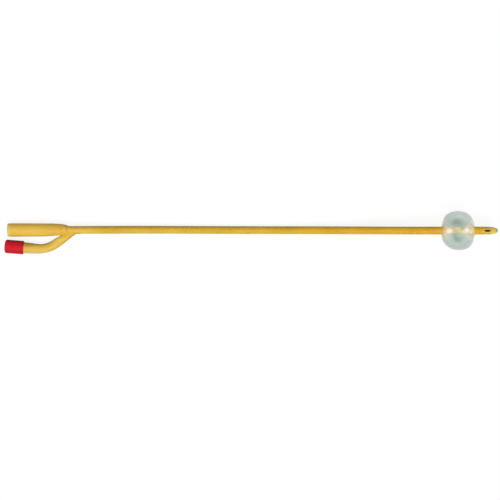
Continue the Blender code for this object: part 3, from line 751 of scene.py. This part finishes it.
def sag(height, distance_to_support):
    """Height of a heavy strip that is held level at one end, above the table that it comes down to."""
    t = 1.0 - distance_to_support / (72.0 * height * SAG_STIFFNESS) ** 0.25
    if t <= 0.0:
        return 0.0
    return height * (4.0 * t ** 3 - 3.0 * t ** 4)


def sideways(share):
    """Offset of the loosely laid shaft, at a share of its free run."""
    knots = SHAFT_ROUTE
    slopes = [0.0]
    for (x0, y0), _, (x1, y1) in zip(knots, knots[1:], knots[2:]):
        slopes.append((y1 - y0) / (x1 - x0))
    slopes.append(0.0)
    i = 0
    while i < len(knots) - 2 and share > knots[i + 1][0]:
        i += 1
    width = knots[i + 1][0] - knots[i][0]
    t = min(max((share - knots[i][0]) / width, 0.0), 1.0)
    offset = knots[i][1] * (1.0 - ease(t)) + knots[i + 1][1] * ease(t)
    return offset + width * t * (1.0 - t) * (slopes[i] * (1.0 - t) - slopes[i + 1] * t)


def shaft_axis(x):
    """Middle of the shaft at this X."""
    free = min(max(x, COLLAR_X), NECK_START_X)
    z = SHAFT_RADIUS
    z += sag(FUNNEL_Z - SHAFT_RADIUS, free - COLLAR_X)
    z += sag(BALLOON_Z - SHAFT_RADIUS, NECK_START_X - free)
    return Vector((x, AXIS_Y + sideways((free - COLLAR_X) / (NECK_START_X - COLLAR_X)), z))


def make_shaft():
    """Two-lumen tube, ground down to a neck where the balloon sits, and the places along its middle."""
    body = spread(SHAFT_START_X, STEP_START_X, 150)
    neck = spread(STEP_END_X, NECK_END_X, 16)
    places = [shaft_axis(x) for x in body + neck]
    radii = [SHAFT_RADIUS] * len(body) + [NECK_RADIUS] * len(neck)
    tube = drawn("shaft", places, radii, 64)

    open_ends = [SHAFT_START_X - OVERRUN] + body[1:] + neck[:-1] + [NECK_END_X + OVERRUN]
    drain = [shaft_axis(x) + DRAIN_SIDE for x in open_ends]
    combine(tube, even_rod("drain_lumen", drain, DRAIN_RADIUS, 28))

    past_port = 0.003
    first, last = FUNNEL_PORT_X - past_port, BALLOON_X + past_port
    inner = [x for x in body + neck if first < x < last]
    fill = [shaft_axis(x) + FILL_SIDE for x in [first] + inner + [last]]
    combine(tube, even_rod("fill_lumen", fill, FILL_RADIUS, 12))

    port_radius = 0.0005
    skin = Vector((0.0, -SHAFT_RADIUS - BOND_GAP, 0.0))
    for x in (FUNNEL_PORT_X, BALLOON_X):
        ends = [shaft_axis(x) + FILL_SIDE, shaft_axis(x) + skin]
        combine(tube, even_rod("port", ends, port_radius, 20))
    return tube, places


# Balloon

# Powers of the belly's oval, lengthwise and across, and how far above the cuff the oval starts
REAR_POWERS = (2.0, 3.0)
FRONT_POWERS = (2.4, 2.9)
OVAL_START = 0.0009
CUFF_FILLET = 0.0006
REAR_CUFF = 0.00513
FRONT_CUFF = 0.0037

# How far the filled belly hangs over to one side at its rear and to the other at its front
SKEW = 0.00045
SKEW_REACH = 0.008


def belly(radius, half, foot, rows):
    """Outline of the belly from its rear end over the equator to its front end, squarer towards the tip."""
    points = []
    for angle in spread(0.0, math.pi, rows):
        run = -math.cos(angle)
        lengthwise, across = REAR_POWERS if run < 0.0 else FRONT_POWERS
        height = radius * math.sin(angle) ** (2.0 / across)
        if height > foot + OVAL_START:
            points.append((math.copysign(half * abs(run) ** (2.0 / lengthwise), run), height))
    return points


def make_balloon():
    """Thin shell with a cuff at each end, filled a little unevenly."""
    half, inner_half, rows = BALLOON_HALF, BALLOON_HALF - BALLOON_WALL, 56
    bore = NECK_RADIUS + BOND_GAP
    rear, front = -half - REAR_CUFF, half + FRONT_CUFF
    fillet = [(half + back, SHAFT_RADIUS + inwards) for back, inwards in rounding(CUFF_FILLET, 6)]
    outline = [(rear, bore), (rear, SHAFT_RADIUS)] + [(-x, r) for x, r in fillet]
    outline += belly(BALLOON_Z, half, SHAFT_RADIUS, rows) + fillet[::-1]
    outline += [(front, SHAFT_RADIUS), (front, bore), (inner_half, bore)]
    outline += belly(BALLOON_Z - BALLOON_WALL, inner_half, bore, rows)[::-1]
    outline += [(-inner_half, bore), (rear, bore)]
    obj = lathe("balloon_skin", outline, 112)
    for point in obj.data.vertices:
        reach = math.hypot(point.co.y, point.co.z)
        point.co.y -= SKEW * point.co.x / half * ease((reach - SHAFT_RADIUS) / SKEW_REACH)
    return put(obj, (BALLOON_X, BALLOON_Y, BALLOON_Z))


# Tip

# Rounded nose, and the latex in front of its bore
NOSE_LENGTH = 0.0085
NOSE_POWER = 0.8
NOSE_WALL = 0.0036

# Oval opening of each eye, and how far it lies off the tip's middle
EYE_LENGTH = 0.0051
EYE_WIDTH = 0.00164
EYE_SIDE = -0.00018


def make_tip():
    """Rounded nose with its bore and two staggered eyes, their edges melted round."""
    body, spigot = TIP_BODY_X - TIP_END_X, TIP_START_X - TIP_END_X
    outline = [(-NOSE_LENGTH * (1.0 - math.cos(a)), SHAFT_RADIUS * math.sin(a) ** NOSE_POWER)
               for a in spread(0.0, math.pi / 2, 24)]
    outline += [(body, SHAFT_RADIUS), (body, NECK_RADIUS), (spigot, NECK_RADIUS), (spigot, 0.0)]
    middle = Vector((TIP_END_X, BALLOON_Y, BALLOON_Z))
    nose = put(lathe("tip", outline, 72), middle)

    bore = [(-NOSE_WALL - inwards, DRAIN_RADIUS - back) for back, inwards in rounding(DRAIN_RADIUS, 6)]
    bore += [(spigot - OVERRUN, DRAIN_RADIUS), (spigot - OVERRUN, 0.0)]
    combine(nose, put(lathe("tip_bore", bore, 40), middle + DRAIN_SIDE))

    in_bore, past_skin = 0.00035, 0.0038
    for back, side in ((EYE_BACK, 1.0), (LOWER_EYE_BACK, -1.0)):
        ends = [Vector((0.0, 0.0, in_bore * side)), Vector((0.0, 0.0, past_skin * side))]
        eye = even_rod("eye", ends, EYE_WIDTH / 2, 40)
        eye.scale = (EYE_LENGTH / EYE_WIDTH, 1.0, 1.0)
        bpy.ops.object.transform_apply(location=False, rotation=False, scale=True)
        combine(nose, put(eye, middle + Vector((-back, EYE_SIDE, 0.0))))
    soften(nose, 0.00013, 4)
    return nose


# Y funnel

# Middle of the inflation arm, from the back of the valve's housing: straight, bent, and straight to the shaft
BRANCH_ANGLE = math.radians(34.3)
ARM_BEND = 0.0235
ARM_LENGTH = 0.0470575
ARM_STRAIGHT = 0.0110013
ARM_ARC = 0.0159549

# Radius of the arm, how much and how far it swells over the barb, and how much and how far it thins
ARM_RADIUS = 0.00375
BARB_SWELL = 0.00075
SWELL_END = 0.0007
SWELL_RUN = 0.0168
JOINT_THINNING = 0.00095
THINNING_RUN = 0.0186

# Sleeve: the moulding's thin end on the shaft
SLEEVE_END_X = -0.1385
SLEEVE_RADIUS = 0.00327
SLEEVE_LEAN = Vector((0.0, -0.00012, 0.0))
SLEEVE_INSIDE = 0.003
SOCKET_PLAY = 0.00003
SOCKET_PAST_END = 0.003

# The funnel narrows a little on the arm's side, from this place on
NARROWING = 0.0004
NARROWING_START_X = -0.168
NARROWING_RUN = 0.010
NARROWING_DEPTH = 0.004

# Corners of the web between arm and shaft, and of the wedge that cuts the crotch sharp, seen from above
WEB_HALF = 0.0032
WEB = [(-0.1526, -0.0022), (-0.1511, -0.0043), (BRANCH_X, AXIS_Y - 0.0012), (-0.1526, AXIS_Y)]
CROTCH_HALF = 0.006
CROTCH = [(-0.1584, -0.0023), (-0.1584, -0.00425), (-0.15355, -0.0019)]

# Inside: bore for a drainage connector, pocket for the barb, channel for filling the balloon
BORE_MOUTH = 0.0042
BORE_THROAT = 0.0022
POCKET_START = 0.0146
POCKET_SHOULDER = 0.02
POCKET_END = 0.0258
POCKET_RADIUS = 0.00305
POCKET_NOSE = 0.0019
CHANNEL_START = 0.0107
CHANNEL_RADIUS = 0.001

# Places in the joint's flank that are melted round
MELTED = ((-0.1497, -0.0020), (-0.1474, -0.0006))
MELT_REACH = 0.0048


def arm_axis(s):
    """Middle of the inflation arm, at a distance from the back of the valve's housing."""
    if s <= ARM_STRAIGHT:
        return VALVE_FACE + VALVE_LINE * (CAP_LENGTH + s)
    if s <= ARM_STRAIGHT + ARM_ARC:
        start = VALVE_FACE + VALVE_LINE * (CAP_LENGTH + ARM_STRAIGHT)
        heading = (s - ARM_STRAIGHT) / ARM_BEND - VALVE_TILT
        across = ARM_BEND * (math.cos(VALVE_TILT) - math.cos(heading))
        run = ARM_BEND * (math.sin(heading) + math.sin(VALVE_TILT))
        return start + Vector((run, across, 0.0))
    back = Vector((math.cos(BRANCH_ANGLE), math.sin(BRANCH_ANGLE), 0.0)) * (ARM_LENGTH - s)
    return Vector((BRANCH_X, AXIS_Y, FUNNEL_Z)) - back


def arm_radius(s):
    """Swollen over the barb, even along its run, finer where it joins the shaft."""
    swell = 1.0 - ease((s - SWELL_END) / SWELL_RUN)
    thinning = ease((s - ARM_LENGTH + THINNING_RUN) / THINNING_RUN)
    return ARM_RADIUS + BARB_SWELL * swell - JOINT_THINNING * thinning


def funnel_outline():
    """Outside of the drainage funnel from its mouth over the shoulder to the collar."""
    lip, mouth_radius = 0.0005, 0.00533
    mouth, bead = (0.0, mouth_radius), (0.0054, 0.0055)
    waist, shoulder = (FUNNEL_LENGTH - 0.0135, 0.0053), (FUNNEL_LENGTH - 0.0065, 0.00498)
    collar = (FUNNEL_LENGTH, 0.00378)
    outline = [(0.0, 0.0)] + [(back, mouth_radius - inwards) for back, inwards in rounding(lip, 6)[::-1]]
    outline += stretch(mouth, bead, (0.4, 0.7, 1.0), ease)
    eighths = spread(0.0, 1.0, 8)[1:]
    outline += stretch(bead, waist, eighths, lambda t: t)
    outline += stretch(waist, shoulder, eighths, ease)
    outline += stretch(shoulder, collar, spread(0.0, 1.0, 14)[1:], lambda t: t ** 1.8)
    return outline + [(FUNNEL_LENGTH, 0.0)]


def make_funnel():
    """One moulding: funnel and inflation arm melted together, with bore, socket, pocket and channel."""
    mouth = (FUNNEL_MOUTH_X, AXIS_Y, FUNNEL_Z)
    body = put(lathe("funnel", funnel_outline(), 96), mouth)
    for point in body.data.vertices:
        forward = ease((point.co.x - NARROWING_START_X) / NARROWING_RUN)
        point.co.y += NARROWING * forward * ease((AXIS_Y - point.co.y) / NARROWING_DEPTH)

    run = spread(BOND_GAP, ARM_LENGTH, 48)
    combine(body, drawn("arm", [arm_axis(s) for s in run], [arm_radius(s) for s in run], 56), "UNION")
    hold = [shaft_axis(x) + SLEEVE_LEAN for x in spread(COLLAR_X - SLEEVE_INSIDE, SLEEVE_END_X, 16)]
    combine(body, even_rod("sleeve", hold, SLEEVE_RADIUS, 64), "UNION")
    combine(body, flat_block("web", WEB_HALF, WEB), "UNION")
    combine(body, flat_block("crotch", CROTCH_HALF, CROTCH))

    ahead, past_throat = -0.004, THROAT_DEPTH + BOND_GAP
    flare = (BORE_MOUTH - BORE_THROAT) / THROAT_DEPTH
    bore = [(ahead, 0.0), (ahead, BORE_MOUTH - flare * ahead), (past_throat, BORE_THROAT), (past_throat, 0.0)]
    combine(body, put(lathe("bore", bore, 80), mouth))
    pocket = [(POCKET_START, 0.0), (POCKET_START, POCKET_RADIUS), (POCKET_SHOULDER, POCKET_RADIUS)]
    pocket += [(POCKET_END, POCKET_NOSE), (POCKET_END, 0.0)]
    combine(body, on_valve(lathe("pocket", pocket, 56)))
    channel = [arm_axis(s) for s in spread(CHANNEL_START, ARM_LENGTH, 36)]
    combine(body, even_rod("channel", channel, CHANNEL_RADIUS, 24))

    soften(body, 0.00024, 6)
    for x, y in MELTED:
        melt(body, Vector((x, y, FUNNEL_Z)), MELT_REACH, 40)
    held = [FUNNEL_MOUTH_X + THROAT_DEPTH] + spread(COLLAR_X, SLEEVE_END_X + SOCKET_PAST_END, 20)
    socket = [shaft_axis(x) for x in held]
    combine(body, even_rod("socket", socket, SHAFT_RADIUS + SOCKET_PLAY, 64))
    return body


# Inflation valve, measured along its axis from the syringe face

# Housing: conical syringe socket, then the seat's hole, then the chamber for poppet and spring
SOCKET_MOUTH = 0.00215
SOCKET_CHAMFER = 0.00025
SOCKET_END = 0.0075
SOCKET_END_RADIUS = 0.001925
SEAT_END = 0.0085
SEAT_RADIUS = 0.0014
CHAMBER_RADIUS = 0.0031

CAP_FRONT_EDGE = 0.0012
CAP_REAR_EDGE = 0.0005

# Barb: flange with the spring's recess, then the stem with its two ridges
FLANGE_START = 0.0124
FLANGE_END = 0.0146
FLANGE_RADIUS = 0.0029
RECESS_END = 0.0142
RECESS_RADIUS = 0.00185
BARB_END = 0.0255
BARB_BORE = 0.0009
BARB_NECK = 0.0022
BARB_NOSE = 0.0016
BARB_RIDGE = 0.00275
RIDGE_PLACES = (0.02, 0.0164)
RIDGE_LAND = 0.0002
RIDGE_BACK = 0.0003
RIDGE_DROP = 0.00005

# Poppet: stem in the syringe socket, head behind the seal, guide inside the spring
STEM_START = 0.0029
STEM_RADIUS = 0.00095
HEAD_START = 0.0099
HEAD_END = 0.0106
HEAD_RADIUS = 0.0025
GUIDE_END = 0.0124
GUIDE_RADIUS = 0.00085

# Seal, with the radius of its round section, and spring
SEAL_MIDDLE = 0.0092
SEAL_RADIUS = 0.00175
SEAL_SECTION = 0.0005
SPRING_START = 0.01097
SPRING_END = 0.01383
SPRING_TURNS = 4
STEPS_PER_TURN = 28
COIL_RADIUS = 0.00145
WIRE_RADIUS = 0.00017


def make_housing():
    """Moulded head with the conical syringe socket, the seat and the spring chamber."""
    outline = [(CAP_LENGTH, CHAMBER_RADIUS)]
    outline += [(CAP_LENGTH - inwards, CAP_RADIUS - back) for back, inwards in rounding(CAP_REAR_EDGE, 6)]
    outline += [(back, CAP_RADIUS - inwards) for back, inwards in rounding(CAP_FRONT_EDGE, 10)]
    outline += [(0.0, SOCKET_MOUTH + SOCKET_CHAMFER), (SOCKET_CHAMFER, SOCKET_MOUTH)]
    outline += [(SOCKET_END, SOCKET_END_RADIUS), (SOCKET_END, SEAT_RADIUS), (SEAT_END, SEAT_RADIUS)]
    outline += [(SEAT_END, CHAMBER_RADIUS), (CAP_LENGTH, CHAMBER_RADIUS)]
    return on_valve(lathe("housing", outline, 96))


def make_barb():
    """Flange, spring seat and barbed stem."""
    outline = [(BARB_END, BARB_BORE), (BARB_END, BARB_NOSE)]
    for ridge in RIDGE_PLACES:
        outline += [(ridge + RIDGE_LAND, BARB_RIDGE - RIDGE_DROP), (ridge, BARB_RIDGE)]
        outline += [(ridge - RIDGE_BACK, BARB_NECK)]
    outline += [(FLANGE_END, BARB_NECK), (FLANGE_END, FLANGE_RADIUS), (FLANGE_START, FLANGE_RADIUS)]
    outline += [(FLANGE_START, RECESS_RADIUS), (RECESS_END, RECESS_RADIUS), (RECESS_END, BARB_BORE)]
    return on_valve(lathe("barb", outline + [(BARB_END, BARB_BORE)], 72))


def make_poppet():
    """Stem that the syringe pushes, head that carries the seal, and guide for the spring."""
    edge, stem_edge = 0.0001, 0.0002
    outline = [(GUIDE_END, 0.0), (GUIDE_END, GUIDE_RADIUS - stem_edge), (GUIDE_END - stem_edge, GUIDE_RADIUS)]
    outline += [(HEAD_END, GUIDE_RADIUS), (HEAD_END, HEAD_RADIUS - edge), (HEAD_END - edge, HEAD_RADIUS)]
    outline += [(HEAD_START + edge, HEAD_RADIUS), (HEAD_START, HEAD_RADIUS - edge), (HEAD_START, STEM_RADIUS)]
    outline += [(STEM_START + stem_edge, STEM_RADIUS), (STEM_START, STEM_RADIUS - stem_edge)]
    return on_valve(lathe("poppet", outline + [(STEM_START, 0.0)], 64))


def make_seal():
    """Round elastomer ring in front of the poppet's head."""
    ring = [(SEAL_MIDDLE - SEAL_SECTION * math.sin(a), SEAL_RADIUS + SEAL_SECTION * math.cos(a))
            for a in spread(0.0, math.tau, 20)]
    return on_valve(lathe("seal", ring, 64))


def make_spring():
    """Coil between the poppet's head and the barb's recess."""
    places = []
    for step, run in enumerate(spread(SPRING_START, SPRING_END, SPRING_TURNS * STEPS_PER_TURN)):
        angle = math.tau * step / STEPS_PER_TURN
        places.append(Vector((run, COIL_RADIUS * math.cos(angle), COIL_RADIUS * math.sin(angle))))
    return on_valve(even_rod("spring", places, WIRE_RADIUS, 12))


# Camera and studio

WHITE = (1.0, 1.0, 1.0, 1.0)
CAMERA_PLACE = (-0.00023, -0.013985, 1.1)


def look_down():
    """Camera straight above, where the photograph was taken."""
    camera = bpy.data.cameras.new("camera")
    camera.sensor_width = 36.0
    camera.lens = 96.66
    camera.clip_start = 0.01
    camera.clip_end = 20.0
    obj = bpy.data.objects.new("camera", camera)
    obj.location = CAMERA_PLACE
    bpy.context.scene.collection.objects.link(obj)
    bpy.context.scene.camera = obj


def skylight(height, breadth, strength):
    """Large even light from the -Y side; height above the horizon and breadth are in degrees."""
    light = bpy.data.lights.new("skylight", "SUN")
    light.energy = strength
    light.angle = math.radians(breadth)
    obj = bpy.data.objects.new("skylight", light)
    obj.rotation_euler = (math.radians(90.0 - height), 0.0, 0.0)
    bpy.context.scene.collection.objects.link(obj)


def white_paper():
    """Floor finish: paper that the camera sees nearly white, with a faint shadow left on it."""
    finish = new_finish("paper", Roughness=0.9, Specular_IOR_Level=0.0)
    seen = background_rays(finish)
    paper = ramp(finish, speckle(finish, 0.3), (0.3, (0.79, 0.79, 0.79)), (0.7, (0.81, 0.81, 0.81)))
    join(finish, tint(finish, seen, paper, (0.99, 0.99, 0.99)), shader_input(finish, "Base Color"))
    glow = add(finish, "ShaderNodeEmission")
    shader = finish.node_tree.nodes["Principled BSDF"]
    overlay_shader(finish, both(finish, seen, 0.88), shader, glow, "Material Output")
    return finish


def white_sky():
    """World that lights the object dimly and is seen white."""
    world = bpy.data.worlds.new("studio")
    world.use_nodes = True
    dim, white = world.node_tree.nodes["Background"], add(world, "ShaderNodeBackground")
    dim.inputs["Strength"].default_value = 0.18
    dim.inputs["Color"].default_value = WHITE
    white.inputs["Color"].default_value = WHITE
    overlay_shader(world, background_rays(world), dim, white, "World Output")
    return world


def studio():
    """Floor just under the catheter, sky and light."""
    bpy.ops.object.select_all(action="DESELECT")
    bpy.ops.mesh.primitive_plane_add(size=6.0, location=(0.0, 0.0, 0.0))
    floor = bpy.context.object
    floor.name = "floor"
    floor.data.materials.append(white_paper())
    put(floor, (0.0, 0.0, -0.0002))
    skylight(height=68.0, breadth=36.0, strength=2.9)
    bpy.context.scene.world = white_sky()


bpy.context.scene.view_settings.view_transform = "Standard"
look_down()
studio()

SHAFT_LATEX = shaft_latex()
TIP_LATEX = tip_latex()
FUNNEL_LATEX = funnel_latex()
BALLOON_LATEX = stretched_latex()
RED_PLASTIC = cap_plastic()
NATURAL_PLASTIC = plastic("natural_plastic", (0.76, 0.74, 0.68), (0.84, 0.82, 0.76), (0.36, 0.5))
WHITE_PLASTIC = plastic("white_plastic", (0.84, 0.84, 0.82), (0.88, 0.88, 0.86), (0.3, 0.42))
SEAL_RUBBER = plastic("seal_rubber", (0.03, 0.03, 0.033), (0.05, 0.05, 0.053), (0.5, 0.7))
SPRING_STEEL = wire()

shaft, route = make_shaft()
dress(shaft, SHAFT_LATEX, "shaft_latex", "catheter", "shaft_tube")
balloon = dress(make_balloon(), BALLOON_LATEX, "balloon_latex", "catheter", "balloon", angle=60.0)
tip = dress(make_tip(), TIP_LATEX, "tip_latex", "catheter", "catheter_tip", angle=60.0)
dress(make_funnel(), FUNNEL_LATEX, "funnel_latex", "catheter", "y_funnel", angle=60.0)
dress(make_housing(), RED_PLASTIC, "red_plastic", "catheter", "valve_housing")
dress(make_barb(), NATURAL_PLASTIC, "natural_plastic", "catheter", "valve_barb")
dress(make_poppet(), WHITE_PLASTIC, "white_plastic", "poppet", "valve_poppet")
dress(make_seal(), SEAL_RUBBER, "seal_rubber", "poppet", "valve_seal")
spring = dress(make_spring(), SPRING_STEEL, "spring_steel", "catheter", "valve_spring")
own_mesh(spring)
